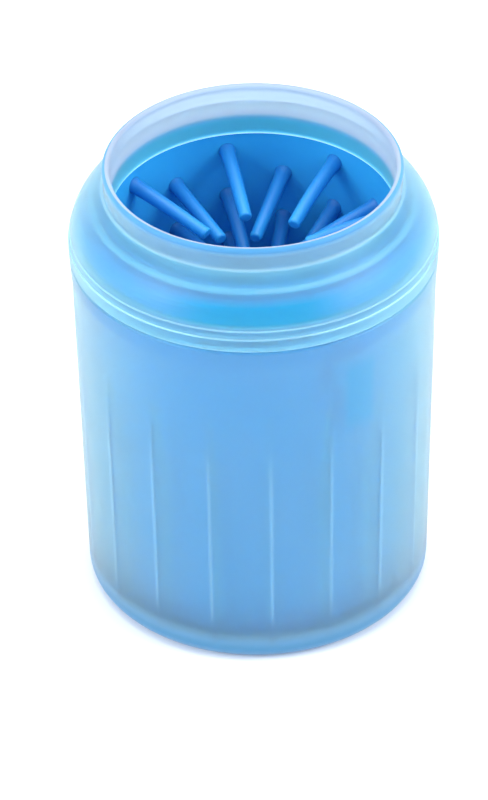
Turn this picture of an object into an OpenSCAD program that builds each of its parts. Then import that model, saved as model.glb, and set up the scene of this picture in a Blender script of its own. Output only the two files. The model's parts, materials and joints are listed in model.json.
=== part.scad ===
// Paw washer cup: a frosted cup, a soft silicone brush insert, and a twist-lock collar with an open neck.
// Upright on its base, axis on Z, millimetres. The collar turns to free its lugs, and rises with the brush.

/* [Overall] */
// Height from the base to the top of the lip
total_h = 147; // [140:1:155]
// Radius of the collar's skirt, the widest place
skirt_r = 55.3; // [54.8:0.1:56]

/* [Cup] */
// Outer radius just above the base's rounded corner
base_r = 52.7; // [51.5:0.1:53]
// Radius of the rounded corner round the base
base_corner = 5.3; // [4:0.1:6]
// Wall thickness
cup_wall = 2.2; // [1.8:0.1:2.4]
// Number of stiffening ribs inside
rib_count = 18; // [12:3:21]
// Thickness of each rib
rib_t = 1.4; // [1:0.1:2]

/* [Collar] */
// Radius of the mouth, a straight bore
mouth_r = 42.4; // [41.5:0.1:42.6]
// Wall thickness of the shoulder and skirt
collar_wall = 1.8; // [1.5:0.1:1.9]

/* [Brush] */
// Wall thickness of the silicone sleeve
sleeve_t = 1.6; // [1.2:0.1:1.8]
// Bristles in each row
bristles_per_row = 8; // [6:1:10]
// Free length of a bristle
bristle_l = 29; // [20:1:30]
// Diameter of a bristle at its root
bristle_d = 4.6; // [3:0.1:5]
// Droop of the bristles towards the base
bristle_droop = 8; // [0:1:10]

/* [Hidden] */
$fn = 180;

// Heights, measured down from the lip so that the neck, shoulder and skirt keep their sizes.
skirt_z = total_h - 28.8;      // lower edge of the collar
band_z = total_h - 24.4;       // top of the skirt's straight band
crease_z = total_h - 21.6;     // crease between skirt and shoulder
neck_z = total_h - 7;          // foot of the neck
spigot_z = total_h - 17.5;     // lower edge of the collar's inner spigot
rim_z = total_h - 22.2;        // rim of the cup, which carries the brush's flange
stop_z = skirt_z - 0.6;        // stop shoulder of the cup, just under the skirt
flare_z = stop_z - 11.6;       // where the cup's wall starts to flare

// Radii worked out from the skirt.
stop_r = skirt_r - 0.2;
cup_top_r = skirt_r - 0.8;
skirt_in_r = skirt_r - collar_wall;
crease_r = skirt_r - 0.4;       // band between crease and skirt
shoulder_n = 12;                // steps along the shoulder's curve
chamfer = 0.4;                  // broken edges of the mouldings
finish_r = skirt_in_r - 1.8;   // root of the cup's lugs
finish_in_r = finish_r - 1.7;
finish_foot = 3.6;              // how far the thin wall under the rim runs below the stop

// Neck and lip
lip_r = 1.1;
lip_c = mouth_r + lip_r;
neck_r = lip_c + 0.8;
spigot_r = mouth_r + 1.2;

// Control points of the outside of the shoulder, a round-bellied curve from the neck's foot to the crease
shoulder_a = [neck_r + 0.5, neck_z + 0.1];
shoulder_b = [skirt_r - 1.5, total_h - 14.8];
shoulder_c = [crease_r - 0.3, crease_z];

// Seal ring, in a shallow groove inside the shoulder
seal_r = 47;
seal_z = total_h - 13.1;
seal_section = 1.2;

// Lugs: four on the cup, four on the collar, each on a shallow helix.
lug_count = 4;
lug_arc = 35;
lug_lead = 14;                 // rise in one full turn
lug_tilt = atan(lug_lead / (2 * PI * finish_r));
lug_h = 1.4;                   // how far a lug stands out
lug_root = 1.8;                // height of a lug at its root
lug_crest = 1.0;               // height of a lug at its crest
lug_bite = 0.8;                // how deep a lug is rooted in its wall
lug_z = total_h - 24.7;
lug_drop = 1.5;                // how far the collar's lugs lie under the cup's

// Floor of the cup
floor_z = 3.4;
recess_z = 1.2;
recess_r = base_r - 10.4;
foot_r = base_r - base_corner;
inner_corner = 3.5;

// Ribs
rib_in_r = 46.4;
rib_full_z = 62;                // above this the ribs run out into the wall
rib_top_z = 92;
rib_phase = -85.8;

// Sleeve of the brush
sleeve_in_r = spigot_r + 0.15;
sleeve_top_z = spigot_z + 5;
sleeve_bottom_z = 4.6;
sleeve_draft = 1.2;            // how much narrower the sleeve is at its foot
flange_t = 1.5;                // thickness of the flange that hangs on the cup's rim
flange_r = finish_r - 0.4;
flange_h = 3.8;                // upright edge of the flange
flange_bend = 2.2;             // outside radius of the bend above that edge
flange_top_z = rim_z + 7.6;    // where the flange leaves the sleeve
hem = 0.9;                     // the sleeve's foot is thickened to a round hem
foot_bend = 3;                 // height of the foot, where the sleeve's taper ends

// Keys: three tabs on the sleeve that sit midway between the cup's ribs.
key_count = 3;
key_phase = rib_phase + 1.5 * 360 / rib_count;
key_r = finish_in_r - 0.5;
key_top_z = 110;
key_head_z = 98;
key_foot_z = 80;
key_head_w = 14;
key_w = 8.5;

// Bristles
row_count = 13;
row_pitch = 8.1;
first_row_z = total_h - 23.8;
row_phase = 100;
root_depth = 1.1;              // length of root trimmed off at the sleeve's wall
tip_taper = 0.35;              // how much thinner a bristle's radius is at its tip
tip_round = 0.5;

row_names = [for (i = [1:row_count]) str("bristle_row_", i < 10 ? "0" : "", i)];

// Points along an arc about c, from angle a0 to a1.
function arc(c, r, a0, a1, n = 8) =
    [for (i = [0:n]) let (a = a0 + (a1 - a0) * i / n) [c[0] + r * cos(a), c[1] + r * sin(a)]];

// A soft step from radius r0 at z0 to r1 at z1.
function ease(r0, z0, r1, z1, n = 8) =
    [for (i = [0:n]) [r0 + (r1 - r0) * (1 - cos(180 * i / n)) / 2, z0 + (z1 - z0) * i / n]];

// Points along the shoulder's outside, moved inwards by a distance square to the curve.
function shoulder(inset) =
    [for (i = [0:shoulder_n]) let (
        t = i / shoulder_n,
        p = (1 - t) * (1 - t) * shoulder_a + 2 * t * (1 - t) * shoulder_b + t * t * shoulder_c,
        d = (1 - t) * (shoulder_b - shoulder_a) + t * (shoulder_c - shoulder_b)
    ) p - [-d[1], d[0]] / norm(d) * inset];

function reversed(points) = [for (i = [len(points) - 1:-1:0]) points[i]];

// One lug on a shallow helix about the Z axis. It stands out from radius r0 to r1 and is rooted behind r0.
module lug(r0, r1, z, turn) {
    root_r = r0 - sign(r1 - r0) * lug_bite;
    root_h = lug_root + (lug_root - lug_crest) * lug_bite / lug_h;
    rotate([0, 0, turn]) translate([0, 0, z]) rotate([lug_tilt, 0, 0]) rotate([0, 0, -lug_arc / 2])
        rotate_extrude(angle = lug_arc)
            polygon([[root_r, -root_h / 2], [r1, -lug_crest / 2],
                     [r1, lug_crest / 2], [root_r, root_h / 2]]);
}

// One rib on the inside of the cup's wall, its top part sloped into the wall.
module rib(turn) {
    rotate([0, 0, turn]) rotate([90, 0, 0]) linear_extrude(rib_t, center = true)
        polygon([[rib_in_r, floor_z - 0.6], [base_r - 1.3, floor_z - 0.6],
                 [cup_top_r - 1.5, rib_top_z], [cup_top_r - cup_wall - 0.5, rib_top_z],
                 [rib_in_r, rib_full_z]]);
}

module cup() {
    inner_top_r = cup_top_r - cup_wall;
    inner_foot_r = base_r - cup_wall + 0.2;
    color([0.72, 0.85, 0.96, 0.5]) {
        rotate_extrude() polygon(concat(
            [[0, recess_z], [recess_r - 1, recess_z], [recess_r, 0]],
            arc([foot_r, base_corner], base_corner, -90, -1),
            ease(cup_top_r, flare_z, stop_r, stop_z - 0.5),
            [[stop_r - chamfer, stop_z], [finish_r, stop_z + 0.1],
             [finish_r, rim_z - chamfer], [finish_r - chamfer, rim_z],
             [finish_in_r + chamfer, rim_z], [finish_in_r, rim_z - chamfer],
             [finish_in_r, stop_z - finish_foot], [inner_top_r, stop_z - finish_foot - 3.4]],
            arc([inner_foot_r - inner_corner, floor_z + inner_corner], inner_corner, 0, -90, 6),
            [[0, floor_z]]
        ));
        for (i = [0:rib_count - 1]) rib(rib_phase + 360 / rib_count * i);
        for (i = [0:lug_count - 1]) lug(finish_r, finish_r + lug_h, lug_z, 360 / lug_count * i);
    }
}

module seal_section_ring(section) {
    rotate_extrude() translate([seal_r, seal_z]) circle(section, $fn = 32);
}

module collar() {
    color([0.74, 0.86, 0.96, 0.5]) {
        difference() {
            rotate_extrude() polygon(concat(
                [[skirt_in_r, skirt_z + 0.3], [skirt_in_r + 0.3, skirt_z], [skirt_r - chamfer, skirt_z],
                 [skirt_r, skirt_z + chamfer], [skirt_r, band_z - 0.2], [skirt_r - 0.2, band_z],
                 [crease_r, band_z], [crease_r, crease_z - 0.3], [crease_r - 0.2, crease_z - 0.05]],
                reversed(shoulder(0)),
                arc([neck_r + 1.1, neck_z + 1.1], 1.1, 225, 180, 5),
                arc([lip_c, total_h - lip_r], lip_r, -40, 180, 14),
                arc([mouth_r + 0.6, spigot_z + 0.6], 0.6, 180, 360, 8),
                shoulder(collar_wall),
                [[skirt_in_r, crease_z - 2.2]]
            ));
            seal_section_ring(seal_section);
        }
        for (i = [0:lug_count - 1])
            lug(skirt_in_r, skirt_in_r - lug_h, lug_z - lug_drop, 360 / lug_count * i);
    }
}

module seal_ring() {
    color([0.85, 0.92, 0.97]) seal_section_ring(seal_section);
}

// One key tab, as wide as its head above the ribs and narrower between them.
module key_tab(turn) {
    rotate([0, 0, turn]) intersection() {
        rotate([90, 0, 90]) linear_extrude(key_r + 5)
            polygon([[-key_head_w / 2, key_top_z], [-key_head_w / 2, key_head_z],
                     [-key_w / 2, key_head_z - 4], [-key_w / 2, key_foot_z + 2],
                     [-key_w / 2 + 2, key_foot_z],
                     [key_w / 2 - 2, key_foot_z], [key_w / 2, key_foot_z + 2], [key_w / 2, key_head_z - 4],
                     [key_head_w / 2, key_head_z], [key_head_w / 2, key_top_z]]);
        rotate_extrude()
            polygon([[sleeve_in_r + 0.6, key_foot_z], [key_r - 2, key_foot_z], [key_r, key_foot_z + 4],
                     [key_r, key_top_z - 3], [key_r - 2, key_top_z], [sleeve_in_r + 0.6, key_top_z]]);
    }
}

module brush_sleeve() {
    foot_in_r = sleeve_in_r - sleeve_draft;
    out_r = sleeve_in_r + sleeve_t;
    color([0.16, 0.55, 0.92]) {
        rotate_extrude() polygon(concat(
            [[sleeve_in_r, spigot_z], [sleeve_in_r, sleeve_top_z - chamfer],
             [sleeve_in_r + chamfer, sleeve_top_z], [out_r - chamfer, sleeve_top_z],
             [out_r, sleeve_top_z - chamfer], [out_r, flange_top_z + 0.5],
             [out_r + 0.8, flange_top_z - 0.4]],
            arc([flange_r - flange_bend, rim_z + flange_h], flange_bend, 70, 0, 6),
            [[flange_r, rim_z], [flange_r - 1.1, rim_z], [flange_r - flange_t, rim_z + flange_h - chamfer],
             [flange_r - flange_bend - 0.2, rim_z + flange_h + chamfer],
             [out_r, flange_top_z - flange_t - 0.6],
             [foot_in_r + sleeve_t, sleeve_bottom_z + foot_bend]],
            arc([foot_in_r + sleeve_t / 2, sleeve_bottom_z + hem], hem + 0.3, 60, -90, 8),
            arc([foot_in_r + sleeve_t / 2, sleeve_bottom_z + hem], hem + 0.3, -90, -240, 8),
            [[foot_in_r, sleeve_bottom_z + foot_bend]]
        ));
        for (i = [0:key_count - 1]) key_tab(key_phase + 360 / key_count * i);
    }
}

// One soft finger: rooted in the sleeve's wall, tapered, with a rounded-off flat tip that points at the axis.
module bristle() {
    r0 = bristle_d / 2;
    r1 = r0 - tip_taper;
    l = bristle_l + root_depth;
    rotate([0, -90 - bristle_droop, 0]) rotate_extrude($fn = 32)
        polygon(concat([[0, 0], [r0, 0]],
                       arc([r1 - tip_round, l - tip_round], tip_round, 0, 90, 4), [[0, l]]));
}

// The tapered space inside the sleeve, which trims the bristles' roots flush with its wall.
module sleeve_bore() {
    low_z = sleeve_bottom_z + foot_bend;
    translate([0, 0, low_z])
        cylinder(h = spigot_z - low_z, r1 = sleeve_in_r - sleeve_draft, r2 = sleeve_in_r);
}

// One row of bristles; rows are staggered by half a step.
module bristle_row(i) {
    z = first_row_z - row_pitch * i;
    wall_r = sleeve_in_r - sleeve_draft * (spigot_z - z) / (spigot_z - sleeve_bottom_z);
    step = 360 / bristles_per_row;
    color([0.2, 0.6, 0.95]) intersection() {
        for (k = [0:bristles_per_row - 1])
            rotate([0, 0, row_phase + step * (k + (i % 2) / 2)])
                translate([wall_r + root_depth, 0, z]) bristle();
        sleeve_bore();
    }
}

cup();
collar();
seal_ring();
brush_sleeve();
for (i = [0:row_count - 1])
    bristle_row(i);
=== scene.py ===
import json
import math
import random

import bmesh
import bpy
from mathutils import Matrix, Vector, noise


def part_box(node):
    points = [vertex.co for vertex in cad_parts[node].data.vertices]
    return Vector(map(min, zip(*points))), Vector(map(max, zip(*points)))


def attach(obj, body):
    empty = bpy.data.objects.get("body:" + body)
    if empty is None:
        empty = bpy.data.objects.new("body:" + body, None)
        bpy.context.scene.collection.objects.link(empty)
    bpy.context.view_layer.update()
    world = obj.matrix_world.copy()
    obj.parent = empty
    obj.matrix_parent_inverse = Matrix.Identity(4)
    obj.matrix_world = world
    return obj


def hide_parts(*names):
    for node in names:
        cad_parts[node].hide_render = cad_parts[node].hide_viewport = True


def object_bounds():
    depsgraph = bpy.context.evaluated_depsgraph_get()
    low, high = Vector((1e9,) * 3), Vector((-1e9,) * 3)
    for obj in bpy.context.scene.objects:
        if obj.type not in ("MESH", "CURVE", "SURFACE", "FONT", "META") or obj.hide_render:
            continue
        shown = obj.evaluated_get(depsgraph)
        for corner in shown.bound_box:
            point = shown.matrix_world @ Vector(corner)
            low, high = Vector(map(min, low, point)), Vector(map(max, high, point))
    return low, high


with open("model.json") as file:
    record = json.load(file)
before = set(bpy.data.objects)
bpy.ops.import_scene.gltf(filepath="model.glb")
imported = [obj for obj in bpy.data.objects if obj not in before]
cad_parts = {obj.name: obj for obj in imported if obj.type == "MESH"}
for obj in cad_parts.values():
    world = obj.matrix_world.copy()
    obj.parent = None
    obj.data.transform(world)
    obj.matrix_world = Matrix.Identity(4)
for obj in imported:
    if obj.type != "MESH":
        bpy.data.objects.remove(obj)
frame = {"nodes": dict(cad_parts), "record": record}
cad_box = [[float(v) for v in corner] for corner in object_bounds()]

# Paw washer cup: the frosted cup and collar are CAD nodes with a new material.
# The silicone brush, its fingers and the seal ring are built here.
# Metres throughout; MM turns millimetres into them.
MM = 0.001
RNG = random.Random(11)


# ---------------------------------------------------------------- sizes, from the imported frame

mouth = next(m for m in frame["record"]["mounts"] if m["name"] == "mouth")
sleeve_low, sleeve_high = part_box("brush_sleeve")
seal_low, seal_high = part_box("seal_ring")

WIDTH = cad_box[1][0] - cad_box[0][0]
HEIGHT = cad_box[1][2]
MOUTH_R = mouth["dims"]["r_mm"] * MM
RIM_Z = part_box("cup")[1].z              # rim of the cup, under the sleeve's flange
SPIGOT_Z = HEIGHT - 17.5 * MM           # lower edge of the collar's inner spigot
SPIGOT_OUT_R = MOUTH_R + 1.3 * MM

# Silicone sleeve and its key tabs
FLANGE_R = sleeve_high.x
SLEEVE_TOP_Z = sleeve_high.z
SLEEVE_FOOT_Z = sleeve_low.z
SLEEVE_IN_R = MOUTH_R + 1.35 * MM
SLEEVE_T = 1.6 * MM
SLEEVE_DRAFT = 1.2 * MM
KEY_COUNT = 3
KEY_PHASE = math.radians(-55.8)
KEY_PROUD = 4.2 * MM
KEY_FOOT_Z = 80 * MM
KEY_TOP_Z = 110 * MM

# Ribs inside the cup's wall
RIB_COUNT = 18
RIB_PHASE = math.radians(-85.8)

# Silicone fingers
BRISTLE_ROWS = sorted(name for name in frame["nodes"] if name.startswith("bristle_row"))
BRISTLES_PER_ROW = 8
ROW_PHASE = math.radians(100)
BRISTLE_ROOT_R = 2.3 * MM
BRISTLE_TIP_R = 1.9 * MM
BRISTLE_LENGTH = 29 * MM


# ---------------------------------------------------------------- colours

NECK_TINT = (0.76, 0.84, 0.93)
LIP_TINT = (0.52, 0.59, 0.74)
THICK_TINT = (0.09, 0.40, 0.76)
# Painted see-through blue: the silicone's colour, painted onto the plastic where silicone sits behind the
# wall.
PAINTED_SEE_THROUGH_TINT = (0.07, 0.78, 0.90)
# Painted highlight: the pale colour put on the plastic's highlight lines.
PAINTED_HIGHLIGHT_TINT = (0.80, 0.93, 1.0)
# The collar's painted highlight lines, painted as pale colour and a glow: how far below the lip in mm, half
# width in mm, and strength.
PAINTED_HIGHLIGHT_EDGES = ((7.0, 0.55, 0.3), (21.7, 0.5, 0.3), (24.4, 0.45, 0.35), (28.6, 0.8, 0.25))
# Painted glow: the emission colour and strength on the painted highlight lines, though the plastic is no
# lamp; then the ribs' share of it.
PAINTED_GLOW_COLOUR = (0.45, 0.82, 1.0)
PAINTED_GLOW_STRENGTH = 0.5
RIB_PAINTED_HIGHLIGHT = 0.14
# How much of the painted see-through blue goes over each key tab.
KEY_SEE_THROUGH_SHARE = 0.40
# Places on the ramp of painted shade: a finger's tip, and the plain wall.
TIP_SHADE = 0.8
WALL_SHADE = 1.0


# ---------------------------------------------------------------- materials

def new_material(name):
    """A material with a Principled shader, its node tree's nodes and its links."""
    material = bpy.data.materials.new(name)
    material.use_nodes = True
    tree = material.node_tree
    return material, tree, tree.nodes["Principled BSDF"]


def noise_node(tree, scale, detail=4.0, stretch=(1, 1, 1)):
    """Noise in object space, at a scale per metre."""
    coords = tree.nodes.new("ShaderNodeTexCoord")
    mapping = tree.nodes.new("ShaderNodeMapping")
    mapping.inputs["Scale"].default_value = stretch
    texture = tree.nodes.new("ShaderNodeTexNoise")
    texture.inputs["Scale"].default_value = scale
    texture.inputs["Detail"].default_value = detail
    tree.links.new(coords.outputs["Object"], mapping.inputs["Vector"])
    tree.links.new(mapping.outputs["Vector"], texture.inputs["Vector"])
    return texture.outputs["Fac"]


def ramp(tree, factor, stops):
    """A colour ramp over a factor, from (position, colour) stops."""
    node = tree.nodes.new("ShaderNodeValToRGB")
    elements = node.color_ramp.elements
    while len(elements) < len(stops):
        elements.new(0.5)
    for element, (position, colour) in zip(elements, stops):
        element.position = position
        element.color = (*colour, 1)
    tree.links.new(factor, node.inputs["Fac"])
    return node.outputs["Color"]


def map_range(tree, factor, low, high):
    """Takes a factor's range 0 to 1 to low..high."""
    node = tree.nodes.new("ShaderNodeMapRange")
    node.inputs["To Min"].default_value = low
    node.inputs["To Max"].default_value = high
    tree.links.new(factor, node.inputs["Value"])
    return node.outputs["Result"]


def bump(tree, shader, layers):
    """Chains bump nodes from (height, strength, distance) layers into the shader's normal."""
    normal = None
    for height, strength, distance in layers:
        node = tree.nodes.new("ShaderNodeBump")
        node.inputs["Strength"].default_value = strength
        node.inputs["Distance"].default_value = distance
        tree.links.new(height, node.inputs["Height"])
        if normal:
            tree.links.new(normal, node.inputs["Normal"])
        normal = node.outputs["Normal"]
    tree.links.new(normal, shader.inputs["Normal"])


def math_node(tree, operation, a, b=0.0, c=0.0):
    """A Math node over factors or numbers."""
    node = tree.nodes.new("ShaderNodeMath")
    node.operation = operation
    node.use_clamp = operation == "SUBTRACT"
    for socket, value in zip(node.inputs, (a, b, c)):
        if isinstance(value, (int, float)):
            socket.default_value = value
        else:
            tree.links.new(value, socket)
    return node.outputs["Value"]


def object_axes(tree):
    """The object's own X, Y and Z coordinates, as factors."""
    coords = tree.nodes.new("ShaderNodeTexCoord")
    split = tree.nodes.new("ShaderNodeSeparateXYZ")
    tree.links.new(coords.outputs["Object"], split.inputs["Vector"])
    return split.outputs["X"], split.outputs["Y"], split.outputs["Z"]


def distance_from_axis(tree):
    """Distance from the object's own Z axis, in metres."""
    x, y, _ = object_axes(tree)
    flat = tree.nodes.new("ShaderNodeCombineXYZ")
    tree.links.new(x, flat.inputs["X"])
    tree.links.new(y, flat.inputs["Y"])
    length = tree.nodes.new("ShaderNodeVectorMath")
    length.operation = "LENGTH"
    tree.links.new(flat.outputs["Vector"], length.inputs[0])
    return length.outputs["Value"]


def product(tree, a, b):
    return math_node(tree, "MULTIPLY", a, b)


def largest(tree, *factors):
    """The largest of several factors."""
    top = factors[0]
    for factor in factors[1:]:
        top = math_node(tree, "MAXIMUM", top, factor)
    return top


def pulse(tree, value, centre, half_width):
    """1 where the value is at the centre, falling to 0 at half_width from it."""
    away = math_node(tree, "ABSOLUTE", math_node(tree, "ADD", value, -centre))
    return math_node(tree, "SUBTRACT", 1.0, math_node(tree, "DIVIDE", away, half_width))


def soft_step(tree, value, start, end, before=0.0, after=1.0):
    """A smooth step from before, at the value start, to after, at the value end; end may be below start."""
    (low, at_low), (high, at_high) = sorted(((start, before), (end, after)))
    node = tree.nodes.new("ShaderNodeMapRange")
    node.interpolation_type = "SMOOTHSTEP"
    node.inputs["From Min"].default_value = low
    node.inputs["From Max"].default_value = high
    node.inputs["To Min"].default_value = at_low
    node.inputs["To Max"].default_value = at_high
    tree.links.new(value, node.inputs["Value"])
    return node.outputs["Result"]


def mix_colour(tree, factor, a, b):
    """A colour mix; a is a socket and b a colour."""
    node = tree.nodes.new("ShaderNodeMix")
    node.data_type = "RGBA"
    tree.links.new(factor, node.inputs["Factor"])
    tree.links.new(a, node.inputs["A"])
    node.inputs["B"].default_value = (*b, 1)
    return node.outputs["Result"]


def distance_round(tree, count, phase):
    """Distance round the axis, in metres, from the nearest of several evenly spaced azimuths."""
    x, y, _ = object_axes(tree)
    azimuth = math_node(tree, "ARCTAN2", y, x)
    step = 2 * math.pi / count
    off = math_node(tree, "WRAP", math_node(tree, "ADD", azimuth, -phase), step / 2, -step / 2)
    return math_node(tree, "MULTIPLY", math_node(tree, "ABSOLUTE", off), distance_from_axis(tree))


def frosted_plastic(name, deep, pale, places):
    """Translucent moulded plastic with a fine etched surface, mottled between two tints.

    places(tree) gives a list of (factor, tint) for the places that have a tint of their own, and two factors:
    the painted highlight factor, where highlight lines are painted on as pale colour and a glow, as at a thin
    edge or a rib; and milky, where the plastic is thick or cloudy."""
    material, tree, shader = new_material(name)
    shader.inputs["IOR"].default_value = 1.33
    tints, painted_highlight, milky = places(tree)
    tint = ramp(tree, noise_node(tree, 28), [(0.3, deep), (0.7, pale)])
    # Painted light in the base colour: the silicone's blue painted where it sits behind the wall, and a pale
    # tint on the painted highlight lines.
    for factor, colour in tints + [(painted_highlight, PAINTED_HIGHLIGHT_TINT)]:
        tint = mix_colour(tree, factor, tint, colour)
    tree.links.new(tint, shader.inputs["Base Color"])
    dull = product(tree, largest(tree, painted_highlight, milky), 0.45)
    tree.links.new(math_node(tree, "SUBTRACT", 0.92, dull), shader.inputs["Transmission Weight"])
    # Painted glow: emission on the painted highlight lines.
    shader.inputs["Emission Color"].default_value = (*PAINTED_GLOW_COLOUR, 1)
    tree.links.new(product(tree, painted_highlight, PAINTED_GLOW_STRENGTH), shader.inputs["Emission Strength"])
    shader.inputs["Sheen Weight"].default_value = 0.22
    shader.inputs["Sheen Roughness"].default_value = 0.45
    shader.inputs["Sheen Tint"].default_value = (0.92, 0.95, 1.0, 1)
    tree.links.new(map_range(tree, noise_node(tree, 90), 0.36, 0.45), shader.inputs["Roughness"])
    grain = noise_node(tree, 2600, 2)
    flow = noise_node(tree, 60, 2, (1, 1, 0.25))
    bump(tree, shader, [(flow, 0.12, 0.6 * MM), (grain, 0.18, 0.05 * MM)])
    return material


def collar_places(tree):
    """Where the collar differs.

    Painted highlight lines, pale with a painted glow: the spigot's rim inside, and the neck's foot, the
    crease, the band and the hem outside.
    Painted see-through blue, the silicone's colour painted onto the plastic: the spigot, which fills the
    sleeve's mouth, and the belly of the shoulder over the flange, painted most at front and back. The neck's
    inside and both sides of the lip have their own tints."""
    radius = distance_from_axis(tree)
    _, y, height = object_axes(tree)
    inside = math_node(tree, "LESS_THAN", radius, SPIGOT_OUT_R)
    outside = math_node(tree, "GREATER_THAN", radius, SPIGOT_OUT_R + 0.2 * MM)

    # Painted highlight lines: a thin band at each edge's height, painted pale and made to glow.
    painted_highlight = product(tree, inside, pulse(tree, height, SPIGOT_Z + 0.1 * MM, 0.9 * MM))
    for drop, half_width, strength in PAINTED_HIGHLIGHT_EDGES:
        edge = product(tree, pulse(tree, height, HEIGHT - drop * MM, half_width * MM), strength)
        painted_highlight = largest(tree, painted_highlight, product(tree, outside, edge))

    # Painted see-through blue on the spigot and, most at front and back, on the shoulder's belly.
    socket = product(tree, inside, soft_step(tree, height, HEIGHT - 9.8 * MM, HEIGHT - 12.8 * MM))
    belly = product(tree, soft_step(tree, height, HEIGHT - 21.6 * MM, HEIGHT - 19.5 * MM),
                    soft_step(tree, height, HEIGHT - 13.0 * MM, HEIGHT - 15.5 * MM))
    # The see-through blue is painted most at front and back: this is the share of |y| in the radius.
    front_and_back = math_node(tree, "ABSOLUTE", math_node(tree, "DIVIDE", y, radius))
    belly = product(tree, belly, soft_step(tree, front_and_back, 0.84, 0.98, 0.12, 1.0))
    belly = product(tree, outside, belly)
    painted_see_through = largest(tree, product(tree, socket, 0.72), belly)

    neck = product(tree, inside, soft_step(tree, height, HEIGHT - 12.4 * MM, HEIGHT - 9.6 * MM))
    lip_in = product(tree, inside, soft_step(tree, height, HEIGHT - 8.5 * MM, HEIGHT - 3.5 * MM))
    lip_out = soft_step(tree, height, HEIGHT - 3.5 * MM, HEIGHT - 1.2 * MM)
    lip_out = math_node(tree, "SUBTRACT", lip_out, inside)
    milky = largest(tree, product(tree, neck, 0.9), lip_out,
                    product(tree, socket, 0.5), product(tree, belly, 0.05))
    return [(neck, NECK_TINT), (lip_in, LIP_TINT), (lip_out, THICK_TINT), (painted_see_through, PAINTED_SEE_THROUGH_TINT)], painted_highlight, milky


def cup_places(tree):
    """Where the cup differs.

    Painted highlight: a fine pale line with a painted glow down the wall over each rib. Painted see-through
    blue: the silicone's colour painted where a key tab's face rests against the wall.
    Thick and milky: the base and its rounded corner."""
    _, _, height = object_axes(tree)
    # Painted highlight lines over the ribs, painted pale and made to glow, fading out at the base and the
    # top.
    line_up = product(tree, soft_step(tree, height, 8 * MM, 22 * MM),
                      soft_step(tree, height, 88 * MM, 62 * MM))
    ribs = pulse(tree, distance_round(tree, RIB_COUNT, RIB_PHASE), 0.0, 0.9 * MM)
    painted_highlight = product(tree, product(tree, ribs, line_up), RIB_PAINTED_HIGHLIGHT)
    # Painted see-through blue over each key tab's face.
    tab = product(tree, soft_step(tree, height, KEY_FOOT_Z, KEY_FOOT_Z + 8 * MM),
                  soft_step(tree, height, KEY_TOP_Z, KEY_TOP_Z - 6 * MM))
    tab = product(tree, tab, soft_step(tree, distance_round(tree, KEY_COUNT, KEY_PHASE), 6.5 * MM, 3.0 * MM))
    base = soft_step(tree, height, 12 * MM, 4 * MM)
    return [(base, THICK_TINT), (product(tree, tab, KEY_SEE_THROUGH_SHARE), PAINTED_SEE_THROUGH_TINT)], painted_highlight, base


def silicone(name, root, body, tip, wall):
    """Soft translucent silicone, mottled.

    The attribute `along` runs from 0 at a finger's root to TIP_SHADE at its tip, and is WALL_SHADE on a plain
    wall. The ramp over it paints shade and light: each finger dark at its root, lighter towards its tip, and
    the fingers darker than the wall."""
    material, tree, shader = new_material(name)
    along = tree.nodes.new("ShaderNodeAttribute")
    along.attribute_name = "along"
    # Painted shade: dark at the finger roots, where the wall's shade falls, lighter tips, and fingers darker
    # than the wall for the extra lamp light that reaches them.
    colour = ramp(tree, along.outputs["Fac"],
                  [(0.0, root), (TIP_SHADE / 2, body), (TIP_SHADE, tip), (WALL_SHADE, wall)])
    mottle = ramp(tree, noise_node(tree, 120, 3), [(0.3, (0.94, 0.95, 0.97)), (0.7, (1.0, 1.0, 1.0))])
    mix = tree.nodes.new("ShaderNodeMix")
    mix.data_type = "RGBA"
    mix.blend_type = "MULTIPLY"
    mix.inputs["Factor"].default_value = 1.0
    tree.links.new(colour, mix.inputs["A"])
    tree.links.new(mottle, mix.inputs["B"])
    tree.links.new(mix.outputs["Result"], shader.inputs["Base Color"])
    shader.inputs["Subsurface Weight"].default_value = 0.35
    shader.inputs["Subsurface Radius"].default_value = (0.3, 0.8, 1.0)
    shader.inputs["Subsurface Scale"].default_value = 3 * MM
    tree.links.new(map_range(tree, noise_node(tree, 400, 3), 0.38, 0.52), shader.inputs["Roughness"])
    ripple = noise_node(tree, 300, 3)
    grain = noise_node(tree, 3000, 2)
    bump(tree, shader, [(ripple, 0.15, 0.2 * MM), (grain, 0.12, 0.03 * MM)])
    return material


def floor_material():
    """A pale, nearly even floor."""
    material, tree, shader = new_material("pale_floor")
    tone = ramp(tree, noise_node(tree, 3), [(0.3, (0.90, 0.905, 0.91)), (0.7, (0.92, 0.922, 0.925))])
    tree.links.new(tone, shader.inputs["Base Color"])
    shader.inputs["Roughness"].default_value = 0.7
    return material


CUP_PLASTIC = frosted_plastic("frosted_cup", (0.41, 0.80, 0.92), (0.48, 0.83, 0.94), cup_places)
COLLAR_PLASTIC = frosted_plastic("frosted_collar", (0.42, 0.86, 0.98), (0.48, 0.88, 0.99), collar_places)
# The brush's painted shade: a dark root, a body, a lighter tip, and the wall, paler than any finger.
BRUSH_BLUE = silicone("brush_silicone", (0.012, 0.21, 0.58), (0.014, 0.25, 0.68), (0.022, 0.34, 0.78),
                      (0.028, 0.40, 0.82))
SEAL_PALE = silicone("seal_silicone", (0.32, 0.52, 0.74), (0.33, 0.53, 0.75), (0.34, 0.54, 0.76),
                     (0.34, 0.54, 0.76))


# ---------------------------------------------------------------- mesh helpers

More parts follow.
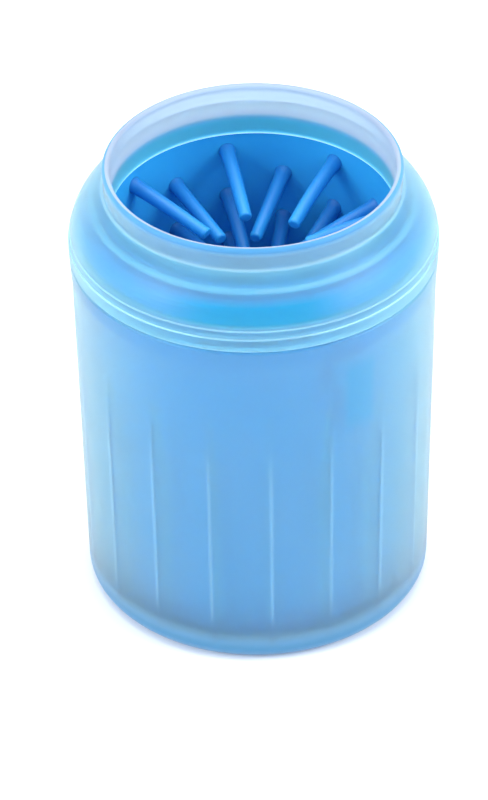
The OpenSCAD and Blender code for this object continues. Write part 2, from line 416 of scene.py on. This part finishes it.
def add_piece(name, bm, material, body, replaced):
    """Makes a smooth-shaded piece that rides on a body and stands for a CAD node."""
    bmesh.ops.recalc_face_normals(bm, faces=bm.faces)
    if not bm.verts.layers.float.get("along"):
        along = bm.verts.layers.float.new("along")
        for vert in bm.verts:
            vert[along] = WALL_SHADE
    mesh = bpy.data.meshes.new(name)
    bm.to_mesh(mesh)
    bm.free()
    mesh.materials.append(material)
    for polygon in mesh.polygons:
        polygon.use_smooth = True
    piece = bpy.data.objects.new(name, mesh)
    bpy.context.scene.collection.objects.link(piece)
    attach(piece, body)
    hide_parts(replaced)
    return piece


def loft(bm, rings, closed):
    """Joins rings of vertices with quads, and joins the last to the first where the section is closed."""
    pairs = list(zip(rings, rings[1:]))
    if closed:
        pairs.append((rings[-1], rings[0]))
    for a, b in pairs:
        for i in range(len(a)):
            j = (i + 1) % len(a)
            bm.faces.new((a[i], a[j], b[j], b[i]))


def revolve(bm, section, segments, shape=None):
    """Revolves a closed (r, z) section about Z. shape(r, z, angle) may move each point."""
    rings = []
    for r, z in section:
        ring = []
        for k in range(segments):
            angle = 2 * math.pi * k / segments
            new_r, new_z = shape(r, z, angle) if shape else (r, z)
            ring.append(bm.verts.new((new_r * math.cos(angle), new_r * math.sin(angle), new_z)))
        rings.append(ring)
    loft(bm, rings, closed=True)


def arc(cr, cz, radius, start, end, steps):
    """Points of a section along an arc; angles in degrees."""
    angles = [math.radians(start + (end - start) * i / steps) for i in range(steps + 1)]
    return [(cr + radius * math.cos(a), cz + radius * math.sin(a)) for a in angles]


def line(a, b, steps):
    """Points of a section along a line, without its last point."""
    return [(a[0] + (b[0] - a[0]) * i / steps, a[1] + (b[1] - a[1]) * i / steps) for i in range(steps)]


def smooth(low, high, value):
    """0 below low, 1 above high, and a smooth step between."""
    t = min(max((value - low) / (high - low), 0), 1)
    return t * t * (3 - 2 * t)


# ---------------------------------------------------------------- brush sleeve

def key_mask(angle, z):
    """How far a key tab stands out at a place on the sleeve, 0 to 1: a wide head over a narrower tongue."""
    step = 2 * math.pi / KEY_COUNT
    off = abs((angle - KEY_PHASE + step / 2) % step - step / 2) * (SLEEVE_IN_R + SLEEVE_T)
    half = (4.2 + 2.7 * smooth(94 * MM, 98 * MM, z)) * MM
    side = 1 - smooth(half - 1.4 * MM, half, off)
    foot = smooth(KEY_FOOT_Z + 0.5 * MM, KEY_FOOT_Z + 4 * MM, z)
    return side * foot * (1 - smooth(KEY_TOP_Z - 3.5 * MM, KEY_TOP_Z - 0.5 * MM, z))


def sleeve_shape(r, z, angle):
    """Adds the key tabs to the outside, and the slight unevenness of a soft moulding below the spigot."""
    outside = SLEEVE_IN_R + SLEEVE_T / 2 - SLEEVE_DRAFT * smooth(SPIGOT_Z, SLEEVE_FOOT_Z, z)
    if r > outside and z < KEY_TOP_Z + 2 * MM:
        r += KEY_PROUD * key_mask(angle, z)
    soft = smooth(SPIGOT_Z - 3 * MM, SPIGOT_Z - 14 * MM, z) if z < SPIGOT_Z else 0
    wave = noise.noise(Vector((math.cos(angle) * 1.4, math.sin(angle) * 1.4, z * 22)))
    return r + 0.25 * MM * soft * wave, z


def make_sleeve():
    """The sleeve: a rounded top edge, a flange that hangs on the cup's rim, the key tabs and a round hem."""
    out_r = SLEEVE_IN_R + SLEEVE_T
    foot_in = SLEEVE_IN_R - SLEEVE_DRAFT
    foot_out = foot_in + SLEEVE_T
    bend_z = SLEEVE_FOOT_Z + 3 * MM
    section = line((SLEEVE_IN_R, SPIGOT_Z), (SLEEVE_IN_R, SLEEVE_TOP_Z - 0.6 * MM), 6)
    section += arc(SLEEVE_IN_R + 0.8 * MM, SLEEVE_TOP_Z - 0.8 * MM, 0.8 * MM, 180, 0, 10)
    section += [(out_r, RIM_Z + 8.3 * MM)]
    section += arc(out_r + 1.4 * MM, RIM_Z + 8.3 * MM, 1.4 * MM, 180, 255, 5)
    section += arc(FLANGE_R - 2.2 * MM, RIM_Z + 3.8 * MM, 2.2 * MM, 72, 0, 9)
    section += [(FLANGE_R, RIM_Z + 1.5 * MM)]
    section += arc(FLANGE_R - 0.55 * MM, RIM_Z + 0.55 * MM, 0.55 * MM, 0, -180, 8)
    section += [(FLANGE_R - 1.3 * MM, RIM_Z + 3 * MM), (FLANGE_R - 2.4 * MM, RIM_Z + 4.2 * MM)]
    section += [(out_r + 1.5 * MM, RIM_Z + 5.2 * MM), (out_r + 0.3 * MM, RIM_Z + 4.2 * MM)]
    section += line((out_r, RIM_Z + 2.5 * MM), (foot_out, bend_z), 110)
    section += arc(foot_in + SLEEVE_T / 2, SLEEVE_FOOT_Z + 1.0 * MM, 1.1 * MM, 60, -240, 18)
    section += line((foot_in, bend_z), (SLEEVE_IN_R, SPIGOT_Z), 60)
    bm = bmesh.new()
    revolve(bm, section, 288, sleeve_shape)
    return add_piece("silicone_sleeve", bm, BRUSH_BLUE, "brush", "brush_sleeve")


# ---------------------------------------------------------------- bristles

def add_finger(bm, along, angle, z, droop, yaw, length):
    """One soft finger: a flared root, a gentle sag under its own weight and a rounded-off tip."""
    wall_r = SLEEVE_IN_R - SLEEVE_DRAFT * (SPIGOT_Z - z) / (SPIGOT_Z - SLEEVE_FOOT_Z)
    root = Vector((wall_r * math.cos(angle), wall_r * math.sin(angle), z))
    inward = Vector((-math.cos(angle + yaw), -math.sin(angle + yaw), 0))
    side = Vector((-inward.y, inward.x, 0))
    sag = RNG.uniform(0.03, 0.09)
    sway = RNG.uniform(-0.04, 0.04)
    sides = 24
    buried = 0.9 * MM
    flare, flare_fade = 0.5 * MM, 0.8 * MM
    tip_round = 0.7 * MM
    body = [-buried + i * 0.6 * MM for i in range(6)] + [length * (0.12 + 0.075 * i) for i in range(12)]
    tip = [length - tip_round * (1 - math.sin(math.radians(a))) for a in (0, 25, 45, 60, 75, 88)]
    rings = []
    for s in body + tip:
        t = max(s, 0) / length
        centre = root + inward * (s * math.cos(droop)) - Vector((0, 0, s * math.sin(droop)))
        centre += Vector((0, 0, -sag * length * t * t)) + side * (sway * length * t * t)
        radius = BRISTLE_ROOT_R + (BRISTLE_TIP_R - BRISTLE_ROOT_R) * t
        radius += flare * math.exp(-max(s, 0) / flare_fade) if s > -buried else flare
        if s > length - tip_round:
            back = (s - (length - tip_round)) / tip_round
            radius -= tip_round * (1 - math.sqrt(max(1 - back * back, 0)))
        slope = math.atan2(math.sin(droop) + 2 * sag * t, math.cos(droop))
        lift = Vector((0, 0, math.cos(slope))) + inward * math.sin(slope)
        ring = []
        for k in range(sides):
            a = 2 * math.pi * k / sides
            vert = bm.verts.new(centre + (side * math.cos(a) + lift * math.sin(a)) * radius)
            # Painted shade along the finger: 0 at the dark root, up to TIP_SHADE at the lighter tip.
            vert[along] = TIP_SHADE * t
            ring.append(vert)
        rings.append(ring)
    loft(bm, rings, closed=False)
    bm.faces.new(rings[-1])
    bm.faces.new(rings[0])


def make_bristle_row(index, node):
    """A row of fingers, each with its own droop, yaw and length. Every other row is turned by half a step."""
    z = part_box(node)[1].z - BRISTLE_ROOT_R
    bm = bmesh.new()
    along = bm.verts.layers.float.new("along")
    step = 2 * math.pi / BRISTLES_PER_ROW
    for k in range(BRISTLES_PER_ROW):
        angle = ROW_PHASE + step * (k + (index % 2) / 2)
        droop = math.radians(RNG.uniform(2, 15))
        yaw = math.radians(RNG.uniform(-7, 7))
        length = BRISTLE_LENGTH * RNG.uniform(0.94, 1.0)
        add_finger(bm, along, angle, z, droop, yaw, length)
    return add_piece(f"silicone_fingers_{index + 1:02d}", bm, BRUSH_BLUE, "brush", node)


# ---------------------------------------------------------------- seal ring

def make_seal_ring():
    """A moulded ring with a fine parting ridge round its inside."""
    centre_r = seal_high.x - (seal_high.z - seal_low.z) / 2
    centre_z = (seal_high.z + seal_low.z) / 2
    radius = (seal_high.z - seal_low.z) / 2
    section = []
    for i in range(28):
        a = 2 * math.pi * i / 28
        ridge = 0.07 * MM * math.exp(-((a - math.pi) / 0.16) ** 2)
        section.append((centre_r + (radius + ridge) * math.cos(a), centre_z + radius * math.sin(a)))
    bm = bmesh.new()
    revolve(bm, section, 240)
    return add_piece("soft_seal_ring", bm, SEAL_PALE, "collar", "seal_ring")


# ---------------------------------------------------------------- scene

def make_floor():
    """The plain floor it stands on."""
    bm = bmesh.new()
    bmesh.ops.create_grid(bm, x_segments=2, y_segments=2, size=3.0)
    mesh = bpy.data.meshes.new("floor")
    bm.to_mesh(mesh)
    bm.free()
    mesh.materials.append(floor_material())
    floor = bpy.data.objects.new("floor", mesh)
    bpy.context.scene.collection.objects.link(floor)


def add_area(name, location, target, size, power):
    """A round area lamp that faces a target."""
    light = bpy.data.lights.new(name, "AREA")
    light.shape = "DISK"
    light.size = size
    light.energy = power
    lamp = bpy.data.objects.new(name, light)
    lamp.location = location
    lamp.rotation_euler = (Vector(target) - Vector(location)).to_track_quat("-Z", "Y").to_euler()
    bpy.context.scene.collection.objects.link(lamp)


def make_lights():
    """A bright white surround and three large soft lamps."""
    world = bpy.data.worlds.new("studio")
    world.use_nodes = True
    background = world.node_tree.nodes["Background"]
    background.inputs["Color"].default_value = (0.97, 0.985, 1.0, 1)
    background.inputs["Strength"].default_value = 1.12
    bpy.context.scene.world = world
    centre = (0, 0, HEIGHT / 2)
    add_area("overhead", (0.0, 0.1, 1.1), centre, 0.9, 5)
    add_area("left_soft", (-0.9, -0.5, 0.6), centre, 0.6, 6)
    add_area("right_soft", (0.9, -0.3, 0.6), centre, 0.6, 6)


def make_camera():
    """A long lens from the front, above the rim, with a slight roll."""
    elevation = math.radians(36.72)
    roll = math.radians(-0.93)
    distance = 1.4
    target = Vector((-0.0332 * WIDTH, 0, 0.4098 * HEIGHT))
    back = Vector((0, -math.cos(elevation), math.sin(elevation)))
    up = Vector((0, math.sin(elevation), math.cos(elevation)))
    right = Vector((1, 0, 0))
    rolled_right = math.cos(roll) * right + math.sin(roll) * up
    rolled_up = math.cos(roll) * up - math.sin(roll) * right
    data = bpy.data.cameras.new("camera")
    data.sensor_fit = "VERTICAL"
    data.sensor_height = 36
    data.lens = 206
    camera = bpy.data.objects.new("camera", data)
    rotation = Matrix((rolled_right, rolled_up, back)).transposed().to_4x4()
    camera.matrix_world = Matrix.Translation(target + back * distance) @ rotation
    bpy.context.scene.collection.objects.link(camera)
    bpy.context.scene.camera = camera


for node, plastic in (("cup", CUP_PLASTIC), ("collar", COLLAR_PLASTIC)):
    for material_slot in frame["nodes"][node].material_slots:
        material_slot.material = plastic

make_sleeve()
for row_index, row_node in enumerate(BRISTLE_ROWS):
    make_bristle_row(row_index, row_node)
make_seal_ring()
make_floor()
make_lights()
make_camera()
bpy.context.scene.view_settings.view_transform = "Standard"
